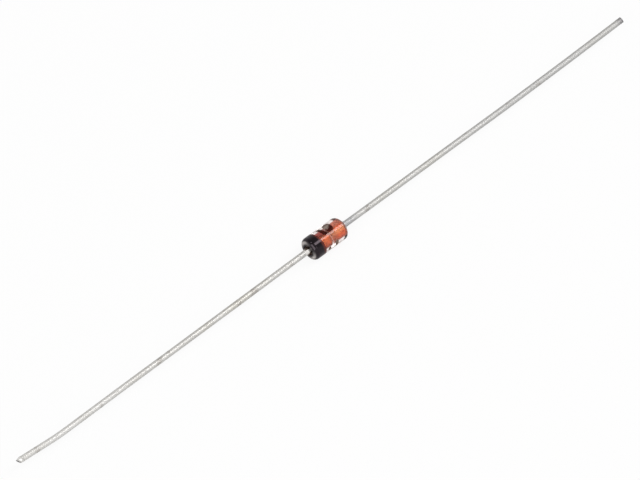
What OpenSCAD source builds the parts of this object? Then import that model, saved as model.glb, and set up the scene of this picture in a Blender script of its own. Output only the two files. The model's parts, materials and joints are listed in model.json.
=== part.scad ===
// Axial glass zener diode, in millimetres.
// X runs along the leads, from the banded cathode end to the anode end.
// The body lies on z = 0 and the origin is under the middle of the glass.

/* [Glass sleeve] */
// Outside diameter of the glass
body_d = 1.95; // [1.7:0.05:2.3]
// Length of the glass
body_l = 3.65; // [3:0.05:5]
// Rounding of the outer edge at the cathode end
cathode_round = 0.35; // [0.1:0.01:0.42]
// Rounding of the outer edge at the anode end
anode_round = 0.42; // [0.1:0.01:0.42]
// Rounding of the inner rim at each end
rim_round = 0.08; // [0.02:0.01:0.1]

/* [Cathode band] */
// Length of the painted band, from the cathode end of the glass
band_w = 0.98; // [0.5:0.01:1.4]
// Thickness of the paint
band_t = 0.02; // [0.01:0.005:0.05]

/* [Plugs] */
// Diameter of the metal plugs, which the glass is fused to
plug_d = 0.92; // [0.7:0.02:0.96]
// Chamfer round both ends of a plug
plug_chamfer = 0.02; // [0.01:0.01:0.08]
// Depth of a plug's outer face below the end of the glass
plug_recess = 0.1; // [0.05:0.01:0.2]
// Distance of the gap between the plugs from the middle of the glass, towards the anode
gap_offset = 0.24; // [-0.3:0.02:0.3]

/* [Chip] */
// Side of the square silicon chip
die_w = 0.42; // [0.3:0.02:0.48]
// Thickness of the silicon chip
die_t = 0.1; // [0.1:0.01:0.25]
// Diameter of the silver contact bump
bump_d = 0.24; // [0.12:0.02:0.28]
// Height of the silver contact bump
bump_t = 0.03; // [0.03:0.01:0.1]

/* [Leads] */
// Diameter of the lead wire
lead_d = 0.5; // [0.4:0.02:0.56]
// Length of a lead along the wire, from the end of the glass to the tip
lead_l = 31.4; // [22:0.1:38]
// Diameter of the weld bead between a plug and its wire
bead_d = 0.64; // [0.58:0.02:0.68]
// Length of the weld bead, from the plug's face
bead_l = 0.62; // [0.3:0.02:0.8]
// Chamfer of a cut tip
tip_chamfer = 0.05; // [0.01:0.01:0.1]

/* [Lead bends] */
// Angle that the cathode lead leans by at its weld, away from the side that both tips turn to
cathode_lean = 0.4; // [0:0.1:1]
// Angle that the cathode lead turns through near its tip
cathode_bend = 4.4; // [1:0.1:8]
// Number of kinks that make up that bend
cathode_kinks = 2; // [1:1:4]
// Distance between those kinks
cathode_kink_step = 0.8; // [0.5:0.1:2]
// Straight length from the last of those kinks to the tip
cathode_tip_l = 3.6; // [1:0.1:6]
// Angle that the anode lead turns through towards its tip
anode_bend = 1.2; // [0.5:0.1:3]
// Number of kinks that make up that curve
anode_kinks = 2; // [1:1:4]
// Distance between those kinks
anode_kink_step = 7; // [1:0.1:8]
// Straight length from the last of those kinks to the tip
anode_tip_l = 5.5; // [1:0.1:8]
// Height of the swelling where the wire is bent or welded
swell_h = 0.005; // [0.003:0.001:0.02]
// Length of the swelling where the wire is bent
swell_l = 0.08; // [0.05:0.01:0.2]

/* [Hidden] */
$fn = 64;
body_r = body_d / 2;
half_l = body_l / 2;
plug_r = plug_d / 2;
lead_r = lead_d / 2;
axis_z = body_r + band_t; // the band is the lowest part of the body
lip_r = plug_r + rim_round; // where the flat of an end meets the inner rim
cathode_flat_r = body_r - cathode_round; // where the flat of that end meets its rounding
anode_flat_r = body_r - anode_round;
gap = die_t + bump_t;
gap_start = gap_offset - gap / 2;
gap_end = gap_offset + gap / 2;
die_end = gap_start + die_t;
plug_out = half_l - plug_recess; // distance of a plug's outer face from the middle
wire_start = bead_l / 2; // the wire starts inside its weld bead
bead_end_r = lead_r + swell_h;
bead_bulge = bead_d / 2 - bead_end_r;
bead_arc_r = (pow(bead_l / 2, 2) + pow(bead_bulge, 2)) / (2 * bead_bulge);

// Turns what stands on the XY plane to lie along +X from x, on the body's axis
module on_axis(x = 0) {
    translate([x, 0, axis_z])
        rotate([0, 90, 0])
            children();
}

// Quarter of a disc, in the first quadrant
module quarter_disc(r) {
    intersection() {
        circle(r = r);
        square(r);
    }
}

// Rod along +Z with both ends chamfered
module chamfered_rod(r, h, chamfer) {
    rotate_extrude()
        polygon([
            [0, 0],
            [r - chamfer, 0],
            [r, chamfer],
            [r, h - chamfer],
            [r - chamfer, h],
            [0, h]
        ]);
}

// Section of half of the glass wall: radius to the right, distance from the middle upwards
module sleeve_section(flat_r) {
    end_round = body_r - flat_r;
    translate([plug_r, 0])
        square([body_r - plug_r, half_l - end_round]);
    translate([plug_r, 0])
        square([flat_r - plug_r, half_l - rim_round]);
    translate([lip_r, 0])
        square([flat_r - lip_r, half_l]);
    translate([flat_r, half_l - end_round])
        quarter_disc(end_round);
    translate([lip_r, half_l - rim_round])
        mirror([1, 0])
            quarter_disc(rim_round);
}

// Section of the paint, on the end that faces upwards here
module band_section() {
    translate([body_r, half_l - band_w])
        square([band_t, band_w - cathode_round]);
    translate([lip_r, half_l])
        square([cathode_flat_r - lip_r, band_t]);
    translate([cathode_flat_r, half_l - cathode_round])
        difference() {
            quarter_disc(cathode_round + band_t);
            quarter_disc(cathode_round);
        }
}

// Weld bead along +Z, as a barrel
module weld_bead() {
    rotate_extrude()
        intersection() {
            translate([bead_d / 2 - bead_arc_r, bead_l / 2])
                circle(r = bead_arc_r);
            square([bead_d / 2, bead_l]);
        }
}

// Lead along +X from its plug's face, with its last stretch turned towards +Y
module lead(bend, kinks, kink_step, tip_l, lean = 0) {
    straight_l = lead_l + plug_recess - wire_start - (kinks - 1) * kink_step - tip_l;
    rotate([0, 90, 0])
        weld_bead();
    translate([wire_start, 0, 0])
        rotate([0, 0, -lean]) {
            rotate([0, 90, 0])
                cylinder(h = straight_l, r = lead_r);
            translate([straight_l, 0, 0])
                bent_end(bend / kinks, kinks, kink_step, tip_l);
        }
}

// One kink of a lead, with the run after it and the kinks that are left
module bent_end(turn, kinks, kink_step, tip_l) {
    rotate([0, 90, turn / 2])
        cylinder(h = swell_l, r = lead_r + swell_h, center = true);
    rotate([0, 0, turn])
        if (kinks > 1) {
            rotate([0, 90, 0])
                cylinder(h = kink_step, r = lead_r);
            translate([kink_step, 0, 0])
                bent_end(turn, kinks - 1, kink_step, tip_l);
        } else {
            rotate([0, 90, 0])
                cut_tip(tip_l);
        }
}

// Straight end of a lead along +Z, with a chamfered tip
module cut_tip(l) {
    cylinder(h = l - tip_chamfer, r = lead_r);
    translate([0, 0, l - tip_chamfer])
        cylinder(h = tip_chamfer, r1 = lead_r, r2 = lead_r - tip_chamfer);
}

module glass_sleeve() {
    color([0.82, 0.88, 0.86, 0.35])
        on_axis()
            rotate_extrude() {
                sleeve_section(anode_flat_r);
                mirror([0, 1])
                    sleeve_section(cathode_flat_r);
            }
}

module cathode_band() {
    color([0.05, 0.05, 0.05])
        on_axis()
            rotate_extrude()
                mirror([0, 1])
                    band_section();
}

module cathode_plug() {
    color([0.78, 0.36, 0.25])
        on_axis(-plug_out)
            chamfered_rod(plug_r, gap_start + plug_out, plug_chamfer);
}

module anode_plug() {
    color([0.82, 0.41, 0.29])
        on_axis(gap_end)
            chamfered_rod(plug_r, plug_out - gap_end, plug_chamfer);
}

module silicon_die() {
    color([0.33, 0.34, 0.38])
        on_axis(gap_start)
            translate([-die_w / 2, -die_w / 2, 0])
                cube([die_w, die_w, die_t]);
}

module contact_bump() {
    color([0.85, 0.85, 0.83])
        on_axis(die_end)
            cylinder(h = bump_t, d = bump_d);
}

module cathode_lead() {
    color([0.76, 0.75, 0.72])
        translate([-plug_out, 0, axis_z])
            mirror([1, 0, 0])
                lead(cathode_bend, cathode_kinks, cathode_kink_step, cathode_tip_l, cathode_lean);
}

module anode_lead() {
    color([0.76, 0.75, 0.72])
        translate([plug_out, 0, axis_z])
            lead(anode_bend, anode_kinks, anode_kink_step, anode_tip_l);
}

glass_sleeve();
cathode_band();
cathode_plug();
anode_plug();
silicon_die();
contact_bump();
cathode_lead();
anode_lead();
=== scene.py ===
import json
import math

import bmesh
import bpy
from mathutils import Matrix, Vector, noise


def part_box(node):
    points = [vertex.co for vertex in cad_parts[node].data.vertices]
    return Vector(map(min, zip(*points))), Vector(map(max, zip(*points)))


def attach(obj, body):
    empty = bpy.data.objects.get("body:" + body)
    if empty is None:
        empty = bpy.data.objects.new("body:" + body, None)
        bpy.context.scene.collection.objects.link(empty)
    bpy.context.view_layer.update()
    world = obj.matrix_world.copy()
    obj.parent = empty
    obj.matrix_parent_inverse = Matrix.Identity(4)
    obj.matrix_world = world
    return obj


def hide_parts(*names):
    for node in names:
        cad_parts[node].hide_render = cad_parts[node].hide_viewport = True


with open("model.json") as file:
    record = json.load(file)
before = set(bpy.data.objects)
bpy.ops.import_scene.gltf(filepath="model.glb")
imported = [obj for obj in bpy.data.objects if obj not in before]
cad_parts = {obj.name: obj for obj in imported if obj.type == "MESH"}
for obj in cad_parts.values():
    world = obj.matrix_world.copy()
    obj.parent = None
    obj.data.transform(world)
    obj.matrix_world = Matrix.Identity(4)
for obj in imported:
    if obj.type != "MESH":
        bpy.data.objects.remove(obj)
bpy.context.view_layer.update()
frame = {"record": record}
noise.seed_set(4)  # or each run would shift the vector noise

mm = 0.001
micron = 0.000001
nearby = 0.5 * micron   # how close a vertex lies to the ring that it belongs to
merged = 0.05 * micron  # how close two vertices lie that become one
sharpAngle = 38.0       # degrees between two faces, past which their edge stays sharp

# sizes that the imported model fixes
glassLow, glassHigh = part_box("glass_sleeve")
bandLow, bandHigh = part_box("cathode_band")
cathodePlugLow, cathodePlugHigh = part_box("cathode_plug")
anodePlugLow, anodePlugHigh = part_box("anode_plug")
glassRadius = (glassHigh.z - glassLow.z) / 2
bandRadius = (bandHigh.z - bandLow.z) / 2
plugRadius = (cathodePlugHigh.z - cathodePlugLow.z) / 2
axisZ = (glassLow.z + glassHigh.z) / 2
plugFace = anodePlugHigh.x  # how far from the middle the leads start
gapMiddle = (cathodePlugHigh.x + anodePlugLow.x) / 2
wireRadius = frame["record"]["mounts"][0]["dims"]["r_mm"] * mm


class Signal:
    # wraps one output socket, so that shader maths reads as plain sums
    def __init__(self, tree, socket):
        self.tree = tree
        self.socket = socket

    def maths(self, operation, first, second):
        return addNode(self.tree, "ShaderNodeMath", {"operation": operation}, {0: first, 1: second})

    def __add__(self, other):
        return self.maths("ADD", self, other)

    def __radd__(self, other):
        return self.maths("ADD", other, self)

    def __sub__(self, other):
        return self.maths("SUBTRACT", self, other)

    def __rsub__(self, other):
        return self.maths("SUBTRACT", other, self)

    def __mul__(self, other):
        return self.maths("MULTIPLY", self, other)

    def __rmul__(self, other):
        return self.maths("MULTIPLY", other, self)


def addNode(tree, kind, settings=None, sockets=None, out=0):
    node = tree.nodes.new(kind)
    for name, value in (settings or {}).items():
        setattr(node, name, value)
    for key, value in (sockets or {}).items():
        if isinstance(value, Signal):
            tree.links.new(value.socket, node.inputs[key])
        else:
            node.inputs[key].default_value = value
    return Signal(tree, node.outputs[out]) if node.outputs else None


class Finish:
    # one material, with the steps that the finishes share
    def __init__(self, name):
        self.material = bpy.data.materials.new(name)
        self.material.use_nodes = True
        self.tree = self.material.node_tree
        self.tree.nodes.clear()

    def add(self, kind, settings=None, sockets=None, out=0):
        return addNode(self.tree, kind, settings, sockets, out)

    def grain(self, size, detail=2.0, stretch=(1, 1, 1), shift=(0, 0, 0)):
        spot = self.add("ShaderNodeTexCoord", out="Object")
        placed = self.add("ShaderNodeMapping", None, {"Vector": spot, "Location": shift, "Scale": stretch})
        return self.add("ShaderNodeTexNoise", None, {"Vector": placed, "Scale": 1 / size, "Detail": detail})

    def step(self, value, low, high):
        # smooth rise from 0 at low to 1 at high
        sockets = {"Value": value, "From Min": low, "From Max": high}
        return self.add("ShaderNodeMapRange", {"interpolation_type": "SMOOTHSTEP"}, sockets)

    def blend(self, factor, first, second):
        return self.add("ShaderNodeMix", {"data_type": "RGBA"}, {0: factor, 6: first, 7: second}, out=2)

    def along(self, axis):
        # distance along an axis, from the origin of the part
        spot = self.add("ShaderNodeTexCoord", out="Object")
        return self.add("ShaderNodeSeparateXYZ", None, {0: spot}, out=axis)

    def magnitude(self, value):
        return self.add("ShaderNodeMath", {"operation": "ABSOLUTE"}, {0: value})

    def larger(self, first, second):
        return self.add("ShaderNodeMath", {"operation": "MAXIMUM"}, {0: first, 1: second})

    def attribute(self, name):
        return self.add("ShaderNodeAttribute", {"attribute_name": name}, out="Fac")

    def bump(self, height, depth):
        return self.add("ShaderNodeBump", None, {"Strength": 1.0, "Distance": depth, "Height": height})

    def surface(self, **sockets):
        named = {key.replace("_", " "): value for key, value in sockets.items()}
        shader = self.add("ShaderNodeBsdfPrincipled", None, named)
        self.add("ShaderNodeOutputMaterial", None, {"Surface": shader})
        return self.material


def turned(outline, steps, closed=False):
    # an outline of (x, radius) pairs, turned round the body's axis
    bm = bmesh.new()
    points = [bm.verts.new((x, 0, axisZ + radius)) for x, radius in outline]
    pairs = list(zip(points, points[1:]))
    if closed:
        pairs.append((points[-1], points[0]))
    edges = [bm.edges.new(pair) for pair in pairs]
    bmesh.ops.spin(bm, geom=points + edges, cent=(0, 0, axisZ), axis=(1, 0, 0),
                   angle=math.tau, steps=steps, use_merge=True)
    bmesh.ops.remove_doubles(bm, verts=bm.verts, dist=merged)
    bmesh.ops.recalc_face_normals(bm, faces=bm.faces)
    return bm


def awayFromAxis(vert):
    return math.hypot(vert.co.y, vert.co.z - axisZ)


def turnOf(vert):
    # angle round the axis, from +Z towards +Y
    return math.atan2(vert.co.y, vert.co.z - axisZ)


def roundRing(bm, x, radius, size, segments):
    # rounds the circle of edges that lies at x with that radius
    def onRing(vert):
        return abs(vert.co.x - x) < nearby and abs(awayFromAxis(vert) - radius) < nearby
    edges = [edge for edge in bm.edges if all(onRing(vert) for vert in edge.verts)]
    bmesh.ops.bevel(bm, geom=edges, offset=size, offset_type="OFFSET", segments=segments,
                    profile=0.5, affect="EDGES", material=-1)


def cutLengthwise(bm, longest, cuts):
    # adds rings to the stretches between rings that are longer than that
    edges = [edge for edge in bm.edges if abs(edge.verts[0].co.x - edge.verts[1].co.x) > longest]
    bmesh.ops.subdivide_edges(bm, edges=edges, cuts=cuts, use_grid_fill=True)


def enterPiece(bm, name, material, slotName, *nodes):
    bmesh.ops.recalc_face_normals(bm, faces=bm.faces)
    mesh = bpy.data.meshes.new(name)
    bm.to_mesh(mesh)
    bm.free()
    mesh.polygons.foreach_set("use_smooth", [True] * len(mesh.polygons))
    mesh.set_sharp_from_angle(angle=math.radians(sharpAngle))
    mesh.materials.append(material)
    piece = bpy.data.objects.new(name, mesh)
    bpy.context.scene.collection.objects.link(piece)
    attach(piece, "root")
    if nodes:
        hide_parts(*nodes)
    print(f"{name}: {len(mesh.polygons)} faces")
    return piece


# glass sleeve
glassSleeve = {
    "steps": 192,
    "cathodeRound": 0.35 * mm,
    "anodeRound": 0.42 * mm,
    "roundSegments": 14,
    "rimRound": 0.08 * mm,     # inner edge at each end
    "rimSegments": 6,
    "longest": 1 * mm,
    "cuts": 16,
    "clear": (0.995, 0.915, 0.890, 1),
    "smeared": (0.990, 0.900, 0.870, 1),
    "smearSize": 0.4 * mm,
    "smearRise": (0.5, 0.75),  # of the noise
    "smearDullness": 0.03,
    "waveSize": 0.6 * mm,
    "waveStretch": (0.5, 1, 1),
    "waveDepth": 0.8 * micron,
    "ior": 1.52,
}


def clearGlass():
    values = glassSleeve
    finish = Finish("clear_glass")
    waves = finish.grain(values["waveSize"], detail=1.0, stretch=values["waveStretch"])
    smears = finish.step(finish.grain(values["smearSize"]), *values["smearRise"])
    return finish.surface(
        Base_Color=finish.blend(smears, values["clear"], values["smeared"]),
        Roughness=smears * values["smearDullness"],
        Transmission_Weight=1.0,
        IOR=values["ior"],
        Normal=finish.bump(waves, values["waveDepth"]),
    )


def makeGlass():
    values = glassSleeve
    low, high = glassLow.x, glassHigh.x
    outline = [(low, plugRadius), (low, glassRadius), (high, glassRadius), (high, plugRadius)]
    bm = turned(outline, values["steps"], closed=True)
    for end, size in ((low, values["cathodeRound"]), (high, values["anodeRound"])):
        roundRing(bm, end, glassRadius, size, values["roundSegments"])
        roundRing(bm, end, plugRadius, values["rimRound"], values["rimSegments"])
    cutLengthwise(bm, values["longest"], values["cuts"])
    return enterPiece(bm, "clear_sleeve", clearGlass(), "sleeve_glass", "glass_sleeve")


# black band
cathodeBand = {
    "steps": 192,
    "sunk": 1.5 * micron,      # the paint wets the glass
    "depth": 0.08 * mm,        # how far the paint runs into the recess at the end of the glass
    "edgeRound": 0.010 * mm,
    "edgeSegments": 3,
    "longest": 0.3 * mm,
    "cuts": 18,
    "waveReach": 0.45 * mm,    # how far from its edge the paint follows the edge's wander
    "skew": 0.10 * mm,         # the edge isn't quite square to the axis
    "skewTurn": -105.0,        # degrees from +Z towards +Y where the band is widest
    "wander": 0.035 * mm,
    "wanderSize": 0.6 * mm,
    "wanderSlice": 0.3,        # which slice of the noise the edge follows
    "thinEdge": 0.20 * mm,     # how far from its edge the paint lets the red through
    "thinRing": 0.72 * mm,     # radius of the ring on the end where the paint is thinnest and a painted reflection lies
    "thinReach": 0.15 * mm,
    "thinDepth": 0.21 * mm,    # how far along the body that ring can reach
    "sheenTurn": -31.0,         # degrees from +Z towards +Y, square to which the ring shows most, as a painted reflection would
    "sheenFocus": 3,
    "black": (0.0022, 0.0014, 0.0022, 1),
    "blotch": (0.0050, 0.0034, 0.0042, 1),
    "blotchSize": 0.3 * mm,
    "blotchRise": (0.42, 0.72),
    "inside": (0.560, 0.270, 0.200, 1),   # painted light: a reddish tone on the side that lies on the glass, in place of the dark back of the paint
    # thin grey paint and a painted reflection of the lamps, on the ring at the end
    "thinGreyAndSheen": (0.700, 0.655, 0.625, 1),
    "thinMottle": 0.45,                   # share of that grey that only the blotches show
    "thinRed": (0.095, 0.018, 0.010, 1),
    "dullness": 0.10,                     # and what adds to it
    "blotchDullness": 0.08,
    "edgeDullness": 0.1,
    "endDullness": 0.3,
    "gloss": (1.0, 0.83, 0.94, 1),
    "ior": 1.45,
    "flowSize": 0.35 * mm,
    "flowStretch": (0.6, 1, 1),
    "flowDepth": 5.0 * micron,
}


def blackPaint():
    # gloss paint that thins to red-brown at its edge and to grey round the end of the glass, where a
    # painted reflection of the lamps lies too
    values = cathodeBand
    finish = Finish("black_paint")
    blotches = finish.step(finish.grain(values["blotchSize"]), *values["blotchRise"])
    flow = finish.grain(values["flowSize"], detail=1.0, stretch=values["flowStretch"])
    coat = finish.blend(blotches, values["black"], values["blotch"])
    # painted light on the back of the paint, which the glass shows
    paintedLightBacked = finish.blend(finish.attribute("underside"), coat, values["inside"])
    mottle = values["thinMottle"]
    # the ring at the end: thin paint and a painted reflection
    end = finish.attribute("thinEndAndSheen") * (1 - mottle + blotches * mottle)
    worn = finish.blend(end, paintedLightBacked, values["thinGreyAndSheen"])
    edge = finish.attribute("thinEdge")
    dullness = values["dullness"] + blotches * values["blotchDullness"]
    return finish.surface(
        Base_Color=finish.blend(edge, worn, values["thinRed"]),
        Roughness=dullness + edge * values["edgeDullness"] + end * values["endDullness"],
        IOR=values["ior"],
        Specular_Tint=values["gloss"],
        Normal=finish.bump(flow, values["flowDepth"]),
    )


def markPaint(bm, edge):
    # attributes: where the paint is thin, where a ring of thin paint and painted reflection lies on the
    # end, and which side of it lies on the glass
    values = cathodeBand
    thinEdge = bm.verts.layers.float.new("thinEdge")
    thinEndAndSheen = bm.verts.layers.float.new("thinEndAndSheen")
    underside = bm.verts.layers.float.new("underside")
    bm.normal_update()
    for vert in bm.verts:
        turn = turnOf(vert)
        outwards = vert.normal.dot(Vector((-1, math.sin(turn), math.cos(turn))))
        vert[underside] = 1.0 if outwards < 0 and awayFromAxis(vert) > plugRadius else 0.0
        # all thin over half of the reach, then less and less
        vert[thinEdge] = min(1.0, max(0.0, 2 - 2 * (edge - vert.co.x) / values["thinEdge"]))
        offRing = (awayFromAxis(vert) - values["thinRing"]) / values["thinReach"]
        # the ring shows most square to one turn round the axis, as a painted reflection
        sheenFacing = abs(math.sin(turn - math.radians(values["sheenTurn"]))) ** values["sheenFocus"]
        onEnd = vert.co.x < glassLow.x + values["thinDepth"]
        vert[thinEndAndSheen] = sheenFacing * max(0.0, 1 - offRing ** 2) if onEnd else 0.0


def edgeWander(turn):
    values = cathodeBand
    tilt = math.cos(turn - math.radians(values["skewTurn"]))
    spot = Vector((math.sin(turn), math.cos(turn), values["wanderSlice"]))
    spot *= glassRadius / values["wanderSize"]
    return values["skew"] * tilt + values["wander"] * noise.noise(spot)


def makeBand():
    values = cathodeBand
    thickness = bandRadius - glassRadius
    inner = glassRadius - values["sunk"]
    back = glassLow.x + values["sunk"]
    bore = plugRadius + values["sunk"]
    lip = plugRadius - thickness
    deep = glassLow.x + values["depth"]
    edge = bandHigh.x
    outline = [(edge, inner), (edge, bandRadius), (bandLow.x, bandRadius), (bandLow.x, lip),
               (deep, lip), (deep, bore), (back, bore), (back, inner)]
    bm = turned(outline, values["steps"], closed=True)
    endRound, endSegments = glassSleeve["cathodeRound"], glassSleeve["roundSegments"]
    rimRound, rimSegments = glassSleeve["rimRound"], glassSleeve["rimSegments"]
    roundRing(bm, bandLow.x, bandRadius, endRound + thickness, endSegments)
    roundRing(bm, back, inner, endRound - values["sunk"], endSegments)
    roundRing(bm, bandLow.x, lip, rimRound, rimSegments)
    roundRing(bm, back, bore, rimRound - values["sunk"] * 2, rimSegments)
    roundRing(bm, edge, bandRadius, values["edgeRound"], values["edgeSegments"])
    cutLengthwise(bm, values["longest"], values["cuts"])
    markPaint(bm, edge)
    for vert in bm.verts:
        share = max(0.0, 1 - (edge - vert.co.x) / values["waveReach"])
        vert.co.x += share ** 2 * edgeWander(turnOf(vert))
    return enterPiece(bm, "black_band", blackPaint(), "band_paint", "cathode_band")


# plain printed pads on the glass
# turn: degrees from +Z towards +Y, length: along the axis, width: round it
# slant: how far a pad's two sides are out of line
printedPads = {
    "thickness": 5 * micron,
    "sunk": 1 * micron,
    "strip": 0.04 * mm,        # width of the strips that bend round the glass
    "corner": 0.45,            # rounding of the corners, as a share of the short side
    "cornerSegments": 8,
    "ragged": 0.012 * mm,
    "raggedSize": 0.12 * mm,
    "pads": [
        {"x": 0.41 * mm, "turn": 10.0, "length": 0.67 * mm, "width": 1.00 * mm, "slant": 0.0},
        {"x": -0.27 * mm, "turn": 10.0, "length": 0.34 * mm, "width": 0.97 * mm, "slant": -0.25 * mm},
        {"x": -0.36 * mm, "turn": -93.0, "length": 0.32 * mm, "width": 0.36 * mm, "slant": 0.0},
        {"x": 0.42 * mm, "turn": -90.0, "length": 0.35 * mm, "width": 0.64 * mm, "slant": 0.0},
    ],
    "black": (0.030, 0.004, 0.002, 1),
    "brown": (0.070, 0.011, 0.006, 1),
    "clotSize": 0.16 * mm,
    "clotRise": (0.35, 0.65),
    "clotDepth": 2.0 * micron,
    "clotShift": 0.10 * mm,                # how far the clots move the edges of the painted highlight and of what is thin
    # painted highlight: grey towards the top of the pads
    "paintedHighlight": (0.25, 0.205, 0.175, 1),
    "highlightRise": (-0.06 * mm, 0.22 * mm),    # along Y
    "highlightFall": (0.30 * mm, 0.56 * mm),
    "highlightLoss": 0.6,                        # how much of the grey that fall takes
    "highlightMiddle": 0.30 * mm,                # along X, where the rise starts first
    "highlightLean": 0.6,                        # how much later it starts away from there
    "thin": (0.185, 0.130, 0.105, 1),
    "thinFall": (-0.80 * mm, -0.60 * mm),
    "dullness": 0.55,
    "clotDullness": 0.2,
    "shine": 0.08,
}


def padInk():
    # brown-black stamped ink, with a painted grey highlight near the top, and thin on its -Y side
    values = printedPads
    finish = Finish("pad_ink")
    clots = finish.step(finish.grain(values["clotSize"]), *values["clotRise"])
    dark = finish.blend(clots, values["black"], values["brown"])
    reach = finish.magnitude(finish.along("X") - values["highlightMiddle"])
    across = finish.along("Y") + clots * values["clotShift"]
    # painted highlight, rising towards +Y and falling again
    rise = finish.step(across - values["highlightLean"] * reach, *values["highlightRise"])
    fall = finish.step(across, *values["highlightFall"])
    paintedHighlight = finish.blend(rise * (1 - fall * values["highlightLoss"]), dark, values["paintedHighlight"])
    thin = 1 - finish.step(across, *values["thinFall"])
    return finish.surface(
        Base_Color=finish.blend(thin, paintedHighlight, values["thin"]),
        Roughness=values["dullness"] + clots * values["clotDullness"],
        Specular_IOR_Level=values["shine"],
        Normal=finish.bump(clots, values["clotDepth"]),
    )


def makePad(x, turn, length, width, slant):
    # a flat rounded pad, cut into strips and bent round the glass
    values = printedPads
    bm = bmesh.new()
    corners = bmesh.ops.create_grid(bm, x_segments=1, y_segments=1, size=0.5)["verts"]
    bmesh.ops.scale(bm, vec=(length, width, 1), verts=corners)
    bmesh.ops.bevel(bm, geom=corners, offset=values["corner"] * min(length, width), offset_type="OFFSET",
                    segments=values["cornerSegments"], profile=0.5, affect="VERTICES", material=-1)
    raised = bmesh.ops.extrude_face_region(bm, geom=bm.faces[:])["geom"]
    top = [part for part in raised if isinstance(part, bmesh.types.BMVert)]
    bmesh.ops.translate(bm, vec=(0, 0, values["thickness"] + values["sunk"]), verts=top)
    strips = math.ceil(width / values["strip"])
    for strip in range(1, strips):
        everything = bm.verts[:] + bm.edges[:] + bm.faces[:]
        cut = width * (strip / strips - 0.5)
        bmesh.ops.bisect_plane(bm, geom=everything, plane_co=(0, cut, 0), plane_no=(0, 1, 0))
    for vert in bm.verts:
        spot = Vector((vert.co.x + x, vert.co.y, 0)) / values["raggedSize"]
        ragged = noise.noise_vector(spot) * values["ragged"]
        angle = math.radians(turn) + (vert.co.y + ragged.y) / glassRadius
        radius = glassRadius - values["sunk"] + vert.co.z
        along = x + vert.co.x + ragged.x + slant * vert.co.y / width
        vert.co = (along, radius * math.sin(angle), axisZ + radius * math.cos(angle))
    return bm


def makeInk():
    joined = bmesh.new()
    for pad in printedPads["pads"]:
        bm = makePad(**pad)
        mesh = bpy.data.meshes.new("pad")
        bm.to_mesh(mesh)
        bm.free()
        joined.from_mesh(mesh)
        bpy.data.meshes.remove(mesh)
    return enterPiece(joined, "printed_pads", padInk(), "band_paint")


# plugs
plugs = {
    "steps": 128,
    "fused": 2 * micron,       # the oxide skin reaches into the glass
    "edgeRound": 0.02 * mm,
    "edgeSegments": 4,
    "longest": 0.3 * mm,
    "cuts": 10,
    "red": (0.93, 0.165, 0.042, 1),
    "orange": (0.97, 0.215, 0.070, 1),
    "mottleSize": 0.22 * mm,
    "mottleRise": (0.35, 0.65),
    "drawn": (0.76, 0.105, 0.030, 1),
    "drawnSize": 0.14 * mm,
    "drawnStretch": (0.12, 1, 1),
    "drawnRise": (0.45, 0.8),
    "drawnShare": 0.2,
    "drawnDepth": 0.4 * micron,
    "drawnDullness": 0.14,
    "sideShift": 0.04 * mm,                # how far the mottle moves what changes across the plug
    # the next two bound the strip of painted highlight
    "highlightRise": (-0.43 * mm, -0.32 * mm),   # along Y, as the next two
    "highlightFall": (-0.22 * mm, -0.10 * mm),
    # painted shade on the +Y side
    "paintedShadeRise": (-0.14 * mm, 0.18 * mm),
    "underShadeFall": (-0.20 * mm, 0.10 * mm),  # height from the axis, of the painted shade that darkens the underside
    "underShadeShare": 0.9,
    "metal": 0.65,
    "scorchMetal": 0.10,
    "scorchShift": 0.06 * mm,              # how far the mottle moves the edge of the scorched end
    "scorchDullness": 0.2,
}
cathodeOxide = {
    "dullness": 0.41,
    "paintedShade": 0.75,                         # how far the +Y side, which turns from the light, takes this painted shade
    "paintedShadeColour": (0.42, 0.085, 0.096, 1),
    "highlightShare": 0.25,                           # how far the lengthwise strip of painted highlight takes this one
    "highlightColour": (0.97, 0.40, 0.20, 1),
    "gapShade": 0.6,                           # and how far the end by the gap this painted shade
    "gapShadeColour": (0.42, 0.15, 0.100, 1),
    "gapShadeFall": (0.08 * mm, 0.28 * mm),    # from the middle of the gap
    # painted shade, darker towards the bottom
    "underShadeColour": (0.28, 0.038, 0.012, 1),
    "scorch": 0.30 * mm,                   # how far the weld scorches the plug
    "scorchColour": (0.045, 0.029, 0.020, 1),
}
anodeOxide = {
    "dullness": 0.56,
    "paintedShade": 0.75,
    "paintedShadeColour": (0.86, 0.360, 0.270, 1),
    "highlightShare": 0.8,
    "highlightColour": (0.97, 0.42, 0.20, 1),
    # painted shade on the end by the gap
    "gapShade": 0.5,
    "gapShadeColour": (0.54, 0.22, 0.155, 1),
    "gapShadeFall": (0.21 * mm, 0.71 * mm),
    # painted shade, darker towards the bottom
    "underShadeColour": (0.60, 0.135, 0.080, 1),
    "scorch": 0.15 * mm,
    "scorchColour": (0.280, 0.085, 0.055, 1),
}


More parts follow.
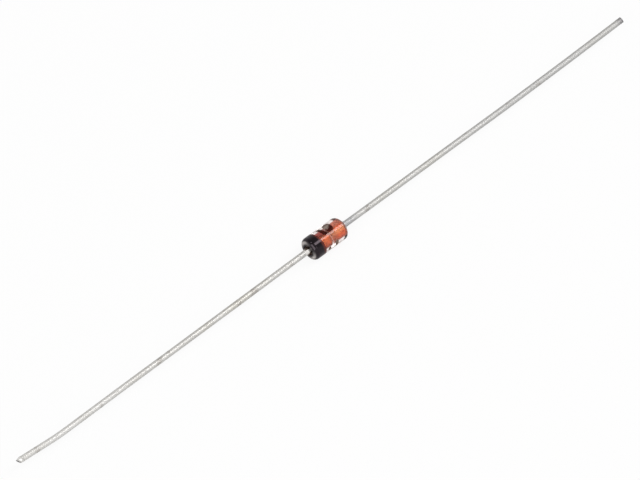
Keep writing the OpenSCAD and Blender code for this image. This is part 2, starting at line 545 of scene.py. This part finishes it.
def plugOxide(name, values):
    # copper oxide skin: mottled, drawn lengthwise and scorched at the weld, with a painted highlight along
    # a strip and painted shade on the +Y side, underneath and by the gap
    finish = Finish(name)
    mottle = finish.grain(plugs["mottleSize"])
    drawn = finish.grain(plugs["drawnSize"], detail=1.0, stretch=plugs["drawnStretch"])
    warm = finish.blend(finish.step(mottle, *plugs["mottleRise"]), plugs["red"], plugs["orange"])
    streaks = finish.step(drawn, *plugs["drawnRise"])
    streaked = finish.blend(streaks * plugs["drawnShare"], warm, plugs["drawn"])
    across = finish.along("Y") + mottle * plugs["sideShift"]
    # painted highlight: a pale strip along the plug
    strip = finish.step(across, *plugs["highlightRise"]) * (1 - finish.step(across, *plugs["highlightFall"]))
    paintedHighlight = finish.blend(strip * values["highlightShare"], streaked, values["highlightColour"])
    # painted shade: darker towards the bottom of the plug
    underShade = 1 - finish.step(finish.along("Z") - axisZ, *plugs["underShadeFall"])
    underShaded = finish.blend(underShade * plugs["underShadeShare"], paintedHighlight, values["underShadeColour"])
    # painted shade on the end of each plug by the gap between them
    nearGap = 1 - finish.step(finish.magnitude(finish.along("X") - gapMiddle), *values["gapShadeFall"])
    gapShaded = finish.blend(nearGap * values["gapShade"], underShaded, values["gapShadeColour"])
    # painted shade on the +Y side, which turns from the light
    side = finish.step(across, *plugs["paintedShadeRise"])
    paintedShaded = finish.blend(side * values["paintedShade"], gapShaded, values["paintedShadeColour"])
    reach = finish.magnitude(finish.along("X")) + mottle * plugs["scorchShift"]
    weldEnd = finish.step(reach, plugFace - values["scorch"], plugFace)
    dullness = values["dullness"] + drawn * plugs["drawnDullness"]
    return finish.surface(
        Base_Color=finish.blend(weldEnd, paintedShaded, values["scorchColour"]),
        Roughness=dullness + weldEnd * plugs["scorchDullness"],
        Metallic=plugs["metal"] - weldEnd * (plugs["metal"] - plugs["scorchMetal"]),
        Normal=finish.bump(drawn, plugs["drawnDepth"]),
    )


def makePlug(low, high, name, material, node):
    radius = plugRadius + plugs["fused"]
    bm = turned([(low.x, 0), (low.x, radius), (high.x, radius), (high.x, 0)], plugs["steps"])
    for end in (low.x, high.x):
        roundRing(bm, end, radius, plugs["edgeRound"], plugs["edgeSegments"])
    cutLengthwise(bm, plugs["longest"], plugs["cuts"])
    return enterPiece(bm, name, material, "plug_oxide", node)


# stain that the sealing leaves on the glass between the plugs
sealStain = {
    "steps": 128,
    "sunk": 1 * micron,
    "thickness": 3 * micron,
    "dark": (0.42, 0.130, 0.085, 1),
    "dull": (0.78, 0.340, 0.260, 1),
    "cloudSize": 0.2 * mm,
    "cloudShift": 0.1 * mm,                # how far the clouds move the edge of the film
    "paintedLitPink": (0.86, 0.380, 0.280, 1),       # on the -Y side, towards the light: painted light
    "paintedLitPinkFall": (-0.30 * mm, -0.05 * mm),  # along Y
    "cover": 0.9,
    "coverRise": (-0.20 * mm, 0.05 * mm),  # height from the axis
    "dullness": 0.5,
    "cloudDullness": 0.2,
    "shine": 0.2,
}


def oxideStain():
    # dull film, clear where the plugs face down, with painted light: pink on the -Y side and darker on the
    # +Y side
    values = sealStain
    finish = Finish("oxide_stain")
    clouds = finish.grain(values["cloudSize"])
    clouded = finish.blend(clouds, values["dark"], values["dull"])
    # painted light and shade across the film, along Y
    side = finish.step(finish.along("Y"), *values["paintedLitPinkFall"])
    height = finish.along("Z") - axisZ + clouds * values["cloudShift"]
    return finish.surface(
        Base_Color=finish.blend(side, values["paintedLitPink"], clouded),
        Roughness=values["dullness"] + clouds * values["cloudDullness"],
        Specular_IOR_Level=values["shine"],
        Alpha=finish.step(height, *values["coverRise"]) * values["cover"],
    )


def makeStain():
    outer = plugRadius + sealStain["sunk"]
    inner = outer - sealStain["thickness"]
    start, end = cathodePlugHigh.x, anodePlugLow.x
    outline = [(start, inner), (start, outer), (end, outer), (end, inner)]
    bm = turned(outline, sealStain["steps"], closed=True)
    return enterPiece(bm, "seal_stain", oxideStain(), "plug_oxide")


# chip
chip = {
    "edgeRound": 0.012 * mm,
    "edgeSegments": 2,
    "dark": (0.40, 0.330, 0.320, 1),
    "light": (0.55, 0.450, 0.430, 1),
    "markSize": 0.012 * mm,
    "markStretch": (1, 0.1, 1),
    "markDepth": 0.8 * micron,
    "metal": 0.3,
    "dullness": 0.45,
    "markDullness": 0.2,
}


def sawnSilicon():
    finish = Finish("sawn_silicon")
    sawMarks = finish.grain(chip["markSize"], stretch=chip["markStretch"])
    return finish.surface(
        Base_Color=finish.blend(sawMarks, chip["dark"], chip["light"]),
        Metallic=chip["metal"],
        Roughness=chip["dullness"] + sawMarks * chip["markDullness"],
        Normal=finish.bump(sawMarks, chip["markDepth"]),
    )


def makeDie():
    low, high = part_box("silicon_die")
    bm = bmesh.new()
    cube = bmesh.ops.create_cube(bm, size=1.0)["verts"]
    bmesh.ops.scale(bm, vec=high - low, verts=cube)
    bmesh.ops.translate(bm, vec=(low + high) / 2, verts=cube)
    bmesh.ops.bevel(bm, geom=bm.edges[:], offset=chip["edgeRound"], offset_type="OFFSET",
                    segments=chip["edgeSegments"], profile=0.5, affect="EDGES", material=-1)
    return enterPiece(bm, "sawn_die", sawnSilicon(), "silicon", "silicon_die")


# contact on the chip
contact = {
    "steps": 64,
    "dome": 0.024 * mm,
    "domeSegments": 6,
    "dull": (0.80, 0.79, 0.75, 1),
    "bright": (0.90, 0.89, 0.86, 1),
    "crystalSize": 0.02 * mm,
    "crystalDepth": 1.0 * micron,
    "dullness": 0.25,
    "crystalDullness": 0.2,
}


def platedSilver():
    finish = Finish("plated_silver")
    crystals = finish.grain(contact["crystalSize"], detail=3.0)
    return finish.surface(
        Base_Color=finish.blend(crystals, contact["dull"], contact["bright"]),
        Metallic=1.0,
        Roughness=contact["dullness"] + crystals * contact["crystalDullness"],
        Normal=finish.bump(crystals, contact["crystalDepth"]),
    )


def makeBump():
    low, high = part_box("contact_bump")
    radius = (high.z - low.z) / 2
    bm = turned([(low.x, 0), (low.x, radius), (high.x, radius), (high.x, 0)], contact["steps"])
    roundRing(bm, high.x, radius, contact["dome"], contact["domeSegments"])
    return enterPiece(bm, "silver_bump", platedSilver(), "silver", "contact_bump")


# leads, made straight along +X from the plug's face, then bent
lead = {
    "steps": 48,
    "length": 31.5 * mm,
    "uncut": 0.3 * mm,         # what the cutter takes off
    "beadLength": 0.62 * mm,
    "beadRings": 12,
    "beadSkew": 0.6,           # under 1, the bead is fullest near the plug
    "beadHollow": 1.5,         # over 1, the bead runs out softly
    "longest": 1 * mm,
    "cuts": 300,
    "lump": 0.008,             # uneven tin coat, as a share of the radius
    "lumpSize": 0.7 * mm,
    "lumpStretch": 0.4,        # under 1, the lumps are longer than wide
    "lumpStart": 1 * mm,       # from the plug's face, where the lumps are full
    "sway": 0.012 * mm,
    "swaySize": 6 * mm,
    "swayStart": 4 * mm,       # where the sway is full
}
# tipPoint: where the facets of the cut meet (further on, +Y, up)
# facets: the way each one faces (towards the tip, +Y, up), how dark it is, darker on those that face down
# as painted shade, how bright in its middle
cathodeLead = {
    "seed": 3.7,
    "bendMiddle": 4.0 * mm,    # from the tip
    "bendLength": 1.6 * mm,
    "bendAngle": 4.4,          # degrees towards +Y
    "lean": 0.4,               # degrees at the weld, away from +Y
    "tipPoint": (0.05 * mm, 0.12 * mm, 0.07 * mm),
    "facets": [
        ((0.51, -0.69, 0.52), 0.25, 1.0),
        ((0.85, -0.45, -0.28), 0.9, 0.0),
        ((0.34, 0.80, 0.49), 0.2, 0.0),
    ],
    "smear": 0.0,              # how far the tip's end is smeared
    "smearReach": 0.3 * mm,
}
anodeLead = {
    "seed": 11.2,
    "bendMiddle": 9.0 * mm,
    "bendLength": 14.0 * mm,
    "bendAngle": 1.2,
    "lean": 0.0,
    "tipPoint": (0.0, 0.0, 0.0),
    "facets": [
        ((0.98, -0.09, 0.19), 0.5, 0.0),
        ((0.98, 0.07, -0.16), 0.8, 0.0),
    ],
    "smear": 0.9,
    "smearReach": 0.75 * mm,
}
tinCoat = {
    "bright": (0.685, 0.677, 0.655, 1),
    "yellow": (0.650, 0.636, 0.594, 1),    # in patches
    "patchSize": 1.8 * mm,
    "patchStretch": (0.5, 1, 1),
    "patchRise": (0.45, 0.68),
    "cathodeFall": (-1 * mm, 1 * mm),      # along X, as the next three
    "paleFall": (-31 * mm, -12 * mm),
    "anodeRise": (-2 * mm, 6 * mm),
    "greyRise": (10 * mm, 24 * mm),
    "pale": (0.69, 0.686, 0.672, 1),       # towards the cathode's tip
    "paleShare": 0.6,
    "grey": (0.53, 0.532, 0.530, 1),       # on the anode side, and more towards its tip
    "anodeShare": 0.4,
    "greyShare": 0.25,
    "speck": (0.37, 0.34, 0.31, 1),
    "speckSize": 0.9 * mm,
    "speckShift": (3 * mm, 0, 0),
    "speckRise": (0.60, 0.70),
    "speckShare": 0.5,
    "dull": (0.50, 0.49, 0.47, 1),         # on the lumps
    "dullRise": (0.50, 0.78),
    "dullShare": 0.3,
    "lumpSize": 0.5 * mm,
    "lumpStretch": (0.35, 1, 1),
    "lumpHeight": 0.8,                     # share of the depth
    "lineSize": 0.12 * mm,
    "lineStretch": (0.03, 1, 1),
    "lineHeight": 0.2,
    "depth": 0.6 * micron,
    "rootGrey": (0.48, 0.486, 0.500, 1),      # greyer and less metallic by the anode plug
    "rootGreyShare": 0.9,
    "rootGreyFall": (0.4 * mm, 2.3 * mm),     # from the plug's face, as the next four
    "beadFall": (0.25 * mm, 0.75 * mm),
    "beadEnd": (0.30 * mm, 0.55 * mm),
    "rootRise": (0.0, 0.05 * mm),
    "taperFall": (0.0, 0.30 * mm),
    "bead": (0.95, 0.925, 0.890, 1),       # painted highlight, pale on the side of the cathode's bead that faces the light
    "beadTurn": -31.3,                     # degrees from +Z towards +Y where that side faces
    "beadOffset": 0.04 * mm,
    "beadHalf": (0.13 * mm, 0.20 * mm),    # half of that side's width
    "taper": 0.11 * mm,                    # what it loses of that at the plug's face
    "scorch": (0.100, 0.068, 0.048, 1),    # painted shade on the rest of that bead, and weld scorch at both roots
    "smear": (0.27, 0.262, 0.275, 1),      # at the anode's tip
    "rim": (0.13, 0.125, 0.130, 1),        # at the end of that smear
    "rimRise": (0.74, 0.86),
    # cut metal, with painted shade on the facets that face down
    "cut": (0.10, 0.095, 0.095, 1),
    "glint": (0.97, 0.97, 0.96, 1),        # in the middle of a bright facet
    "glintRise": (0.45, 0.75),
    "metal": 0.92,                         # and what takes from it
    "beadLoss": 0.3,
    "glintLoss": 0.8,
    "paleLoss": 0.35,
    "rootGreyLoss": 0.25,
    "dullness": 0.49,                      # and what adds to it, or takes from it
    "lumpDullness": 0.12,
    "lineDullness": 0.04,
    "greyDullness": 0.05,
    "beadGloss": 0.11,
}


def tinnedWire():
    values = tinCoat
    finish = Finish("tinned_wire")
    x, y, z = [finish.along(axis) for axis in "XYZ"]
    out = finish.magnitude(x) - plugFace  # distance from the plug's face

    # coat along the two leads
    lumps = finish.grain(values["lumpSize"], stretch=values["lumpStretch"])
    lines = finish.grain(values["lineSize"], detail=1.0, stretch=values["lineStretch"])
    patchy = finish.grain(values["patchSize"], stretch=values["patchStretch"])
    specky = finish.grain(values["speckSize"], shift=values["speckShift"])
    cathodeSide = 1 - finish.step(x, *values["cathodeFall"])
    paleEnd = 1 - finish.step(x, *values["paleFall"])
    anodeSide = finish.step(x, *values["anodeRise"])
    greyEnd = finish.step(x, *values["greyRise"])
    coat = finish.blend(finish.step(patchy, *values["patchRise"]), values["bright"], values["yellow"])
    paled = finish.blend(paleEnd * values["paleShare"], coat, values["pale"])
    greyness = anodeSide * values["anodeShare"] + greyEnd * values["greyShare"]
    greyed = finish.blend(greyness, paled, values["grey"])
    specks = finish.step(specky, *values["speckRise"])
    specked = finish.blend(specks * values["speckShare"], greyed, values["speck"])
    tops = finish.step(lumps, *values["dullRise"])
    dulled = finish.blend(tops * values["dullShare"], specked, values["dull"])

    # greyer root on the anode side; on the other, a bead with a painted highlight on one side and painted
    # shade on the rest; weld scorch at both roots
    greyedRoot = (1 - cathodeSide) * (1 - finish.step(out, *values["rootGreyFall"]))
    beaded = cathodeSide * (1 - finish.step(out, *values["beadFall"]))
    onBead = cathodeSide * (1 - finish.step(out, *values["beadEnd"]))
    turn = math.radians(values["beadTurn"])
    aside = y * math.cos(turn) - (z - axisZ) * math.sin(turn) + values["beadOffset"]
    taper = (1 - finish.step(out, *values["taperFall"])) * values["taper"]
    offBrightSide = finish.step(finish.magnitude(aside) + taper, *values["beadHalf"])
    clean = finish.step(out, *values["rootRise"]) * (1 - offBrightSide * onBead)
    rooted = finish.blend(greyedRoot * values["rootGreyShare"], dulled, values["rootGrey"])
    # painted highlight on the bead, painted shade where it turns from the light
    paintedHighlightBead = finish.blend(beaded, rooted, values["bead"])
    scorchedAndShaded = finish.blend(clean, values["scorch"], paintedHighlightBead)

    # cut tips
    smear = finish.attribute("tipSmear")
    glint = finish.step(finish.attribute("tipGlint"), *values["glintRise"])
    smeared = finish.blend(smear, scorchedAndShaded, values["smear"])
    rimmed = finish.blend(finish.step(smear, *values["rimRise"]), smeared, values["rim"])
    # cut facets: darker cut metal, and painted shade on those that face down
    shornAndShaded = finish.blend(finish.attribute("cutAndShadeFace"), rimmed, values["cut"])

    metal = values["metal"] - beaded * values["beadLoss"] - glint * values["glintLoss"]
    rough = lumps * values["lumpDullness"] + lines * values["lineDullness"]
    worn = (anodeSide + greyEnd) * values["greyDullness"] - beaded * values["beadGloss"]
    height = lumps * values["lumpHeight"] + lines * values["lineHeight"]
    return finish.surface(
        Base_Color=finish.blend(glint, shornAndShaded, values["glint"]),
        Metallic=metal - paleEnd * values["paleLoss"] - greyedRoot * values["rootGreyLoss"],
        Roughness=values["dullness"] + rough + worn,
        Normal=finish.bump(height, values["depth"]),
    )


def beadOutline(beadRadius):
    # barrel that is fullest near the plug and runs out into the wire
    bulge = beadRadius - wireRadius
    outline = []
    for ring in range(lead["beadRings"] + 1):
        share = ring / lead["beadRings"]
        swell = math.sin(math.pi * share ** lead["beadSkew"]) ** lead["beadHollow"]
        outline.append((share * lead["beadLength"], wireRadius + bulge * swell))
    return outline


def cutFacet(bm, tip, normal):
    # one facet of the tip, as a cutter's jaw leaves it
    geom = bm.verts[:] + bm.edges[:] + bm.faces[:]
    bmesh.ops.bisect_plane(bm, geom=geom, plane_co=tip, plane_no=normal, clear_outer=True)
    openEdges = [edge for edge in bm.edges if edge.is_boundary]
    return bmesh.ops.holes_fill(bm, edges=openEdges, sides=0)["faces"]


def cutTip(bm, values):
    cut = bm.faces.layers.float.new("cutAndShadeFace")
    bright = bm.faces.layers.float.new("brightFace")
    glint = bm.verts.layers.float.new("tipGlint")
    tip = Vector((lead["length"], 0, axisZ)) + Vector(values["tipPoint"])
    for normal, darkness, brightness in values["facets"]:
        for face in cutFacet(bm, tip, normal):
            face[cut] = darkness
            face[bright] = brightness
    for face in [face for face in bm.faces if face[bright] > 0]:
        brightness = face[bright]
        for vert in bmesh.ops.poke(bm, faces=[face])["verts"]:
            vert[glint] = brightness


def bentPlace(distance, values):
    # point of the centre line and its turn towards +Y, on an arc between two straight runs
    start = lead["length"] - values["bendMiddle"] - values["bendLength"] / 2
    full = math.radians(values["bendAngle"])
    radius = values["bendLength"] / full
    turn = min(max((distance - start) / radius, 0.0), full)
    past = max(distance - start - values["bendLength"], 0.0)
    straight = min(distance, start)
    along = straight + radius * math.sin(turn) + past * math.cos(turn)
    aside = radius * (1 - math.cos(turn)) + past * math.sin(turn)
    lean = math.radians(values["lean"])
    aside -= max(0.0, along - lead["beadLength"] / 2) * math.tan(lean)
    return along, aside, turn


def bendWire(bm, values):
    # lays the straight wire along its centre line, with a lumpy coat and a slight sway
    smear = bm.verts.layers.float.new("tipSmear")
    for vert in bm.verts:
        distance = vert.co.x
        vert[smear] = values["smear"] * max(0.0, 1 - (lead["length"] - distance) / values["smearReach"])
        across = Vector((vert.co.y, vert.co.z - axisZ))
        spot = Vector((distance * lead["lumpStretch"], *across)) / lead["lumpSize"]
        spot.x += values["seed"]
        swell = 1 + lead["lump"] * noise.noise(spot) * min(1.0, distance / lead["lumpStart"])
        sway = noise.noise_vector(Vector((distance / lead["swaySize"], values["seed"], 0)))
        sway *= lead["sway"] * min(1.0, distance / lead["swayStart"])
        along, aside, turn = bentPlace(distance, values)
        vert.co.x = along - across.x * swell * math.sin(turn)
        vert.co.y = aside + across.x * swell * math.cos(turn) + sway.y
        vert.co.z = axisZ + across.y * swell + sway.z


def makeLead(name, values, node, material, facing):
    low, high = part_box(node)
    bead = beadOutline((high.z - low.z) / 2)
    uncut = lead["length"] + lead["uncut"]
    bm = turned([(0, 0), *bead, (uncut, wireRadius), (uncut, 0)], lead["steps"])
    cutLengthwise(bm, lead["longest"], lead["cuts"])
    cutTip(bm, values)
    bendWire(bm, values)
    bmesh.ops.scale(bm, vec=(facing, 1, 1), verts=bm.verts)
    bmesh.ops.translate(bm, vec=(high.x if facing < 0 else low.x, 0, 0), verts=bm.verts)
    return enterPiece(bm, name, material, "tinned_wire", node)


makeGlass()
makeBand()
makeInk()
cathodeSkin = plugOxide("cathode_oxide", cathodeOxide)
makePlug(cathodePlugLow, cathodePlugHigh, "cathode_slug", cathodeSkin, "cathode_plug")
anodeSkin = plugOxide("anode_oxide", anodeOxide)
makePlug(anodePlugLow, anodePlugHigh, "anode_slug", anodeSkin, "anode_plug")
makeStain()
makeDie()
makeBump()
tin = tinnedWire()
makeLead("cathode_wire", cathodeLead, "cathode_lead", tin, -1)
makeLead("anode_wire", anodeLead, "anode_lead", tin, 1)
print("pieces made")

# camera, as in the photograph
shot = {
    "azimuth": -43.6,              # degrees, 0 looks along +Y
    "elevation": 50.0,
    "distance": 1100 * mm,
    "lens": 777.0,
    "sensor": 36.0,
    "clipStart": 10 * mm,
    "clipEnd": 20.0,
    "imageSize": (640, 480),
    "bodyPixel": (325.0, 238.6),   # where the middle of the glass lies in the image
}


def lookFrom(azimuth, elevation):
    # unit vectors to the right, up and back towards a viewer who stands there
    turn, rise = math.radians(azimuth), math.radians(elevation)
    back = Vector((math.sin(turn) * math.cos(rise), -math.cos(turn) * math.cos(rise), math.sin(rise)))
    right = Vector((math.cos(turn), math.sin(turn), 0))
    return right, back.cross(right), back


def makeCamera():
    right, up, back = lookFrom(shot["azimuth"], shot["elevation"])
    width, height = shot["imageSize"]
    pixel = shot["distance"] * shot["sensor"] / shot["lens"] / width
    aside = (width / 2 - shot["bodyPixel"][0]) * pixel
    above = (shot["bodyPixel"][1] - height / 2) * pixel
    data = bpy.data.cameras.new("camera")
    data.lens = shot["lens"]
    data.sensor_width = shot["sensor"]
    data.clip_start = shot["clipStart"]
    data.clip_end = shot["clipEnd"]
    camera = bpy.data.objects.new("camera", data)
    camera.location = Vector((0, 0, axisZ)) + back * shot["distance"] + right * aside + up * above
    camera.rotation_euler = Matrix((right, up, back)).transposed().to_euler()
    bpy.context.scene.collection.objects.link(camera)
    bpy.context.scene.camera = camera


# studio: white floor, a long soft strip beside the diode, panels round its banded end and a dim room
studio = {
    "floorHalf": 4.0,
    "floorColour": (0.56, 0.56, 0.56, 1),
    "floorGlow": 1.04,
    "shadowShare": 0.12,           # how much of the floor that the camera sees is really lit
    "metalShare": 0.10,            # how much of its glow the metal shows
    "glassShare": 1.00,            # and the glass
    "roomLow": (0.72, 0.72, 0.72, 1),
    "roomHigh": (0.335, 0.325, 0.320, 1),
    "roomRise": (0.15, 0.75),      # heights of the sky between which it dims
    "panelDistance": 500 * mm,
}
# rise: degrees up from the -Y horizon, swing: degrees from there towards +X, length: along X
panels = {
    "strip": {"rise": 71.0, "swing": 38.0, "length": 620 * mm, "width": 170 * mm, "radiance": 4.7},
    "gapShade": {"rise": 38.0, "swing": 5.0, "length": 260 * mm, "width": 180 * mm, "radiance": 1.0},
    "side": {"rise": 60.0, "swing": -58.0, "length": 420 * mm, "width": 420 * mm, "radiance": 2.8},
    "spot": {"rise": 107.0, "swing": -20.0, "length": 110 * mm, "width": 60 * mm, "radiance": 6.0},
}


def makeFloor():
    bm = bmesh.new()
    bmesh.ops.create_grid(bm, x_segments=1, y_segments=1, size=studio["floorHalf"])
    mesh = bpy.data.meshes.new("floor")
    bm.to_mesh(mesh)
    bm.free()
    finish = Finish("white_floor")
    kinds = ("Camera", "Glossy", "Transmission")
    seen, glossy, through = [finish.add("ShaderNodeLightPath", out=f"Is {kind} Ray") for kind in kinds]
    mirrored = finish.larger(glossy * studio["metalShare"], through * studio["glassShare"])
    glowing = finish.larger(seen, mirrored) * (1 - studio["shadowShare"])
    lit = finish.add("ShaderNodeBsdfDiffuse", None, {"Color": studio["floorColour"]})
    glow = finish.add("ShaderNodeEmission", None, {"Color": (1, 1, 1, 1), "Strength": studio["floorGlow"]})
    both = finish.add("ShaderNodeMixShader", None, {0: glowing, 1: lit, 2: glow})
    finish.add("ShaderNodeOutputMaterial", None, {"Surface": both})
    mesh.materials.append(finish.material)
    floor = bpy.data.objects.new("floor", mesh)
    bpy.context.scene.collection.objects.link(floor)


def makePanel(name, rise, swing, length, width, radiance):
    lift, lean = math.radians(rise), math.radians(swing)
    upright = Vector((0, -math.cos(lift), math.sin(lift)))
    back = upright * math.cos(lean) + Vector((math.sin(lean), 0, 0))
    along = Vector((math.cos(lean), 0, 0)) - upright * math.sin(lean)
    data = bpy.data.lights.new(name, "AREA")
    data.shape = "RECTANGLE"
    data.size = length
    data.size_y = width
    data.energy = radiance * math.pi * length * width
    panel = bpy.data.objects.new(name, data)
    panel.location = Vector((0, 0, axisZ)) + back * studio["panelDistance"]
    panel.rotation_euler = Matrix((along, back.cross(along), back)).transposed().to_euler()
    bpy.context.scene.collection.objects.link(panel)


def makeRoom():
    world = bpy.data.worlds.new("room")
    world.use_nodes = True
    tree = world.node_tree
    tree.nodes.clear()
    direction = addNode(tree, "ShaderNodeTexCoord", out="Generated")
    height = addNode(tree, "ShaderNodeSeparateXYZ", None, {0: direction}, out="Z")
    low, high = studio["roomRise"]
    rise = addNode(tree, "ShaderNodeMapRange", {"interpolation_type": "SMOOTHSTEP"},
                   {"Value": height, "From Min": low, "From Max": high})
    colour = addNode(tree, "ShaderNodeMix", {"data_type": "RGBA"},
                     {0: rise, 6: studio["roomLow"], 7: studio["roomHigh"]}, out=2)
    background = addNode(tree, "ShaderNodeBackground", None, {"Color": colour})
    addNode(tree, "ShaderNodeOutputWorld", None, {"Surface": background})
    bpy.context.scene.world = world


makeCamera()
makeFloor()
for name, values in panels.items():
    makePanel(name, **values)
makeRoom()
bpy.context.scene.view_settings.view_transform = "Standard"
print("studio made")
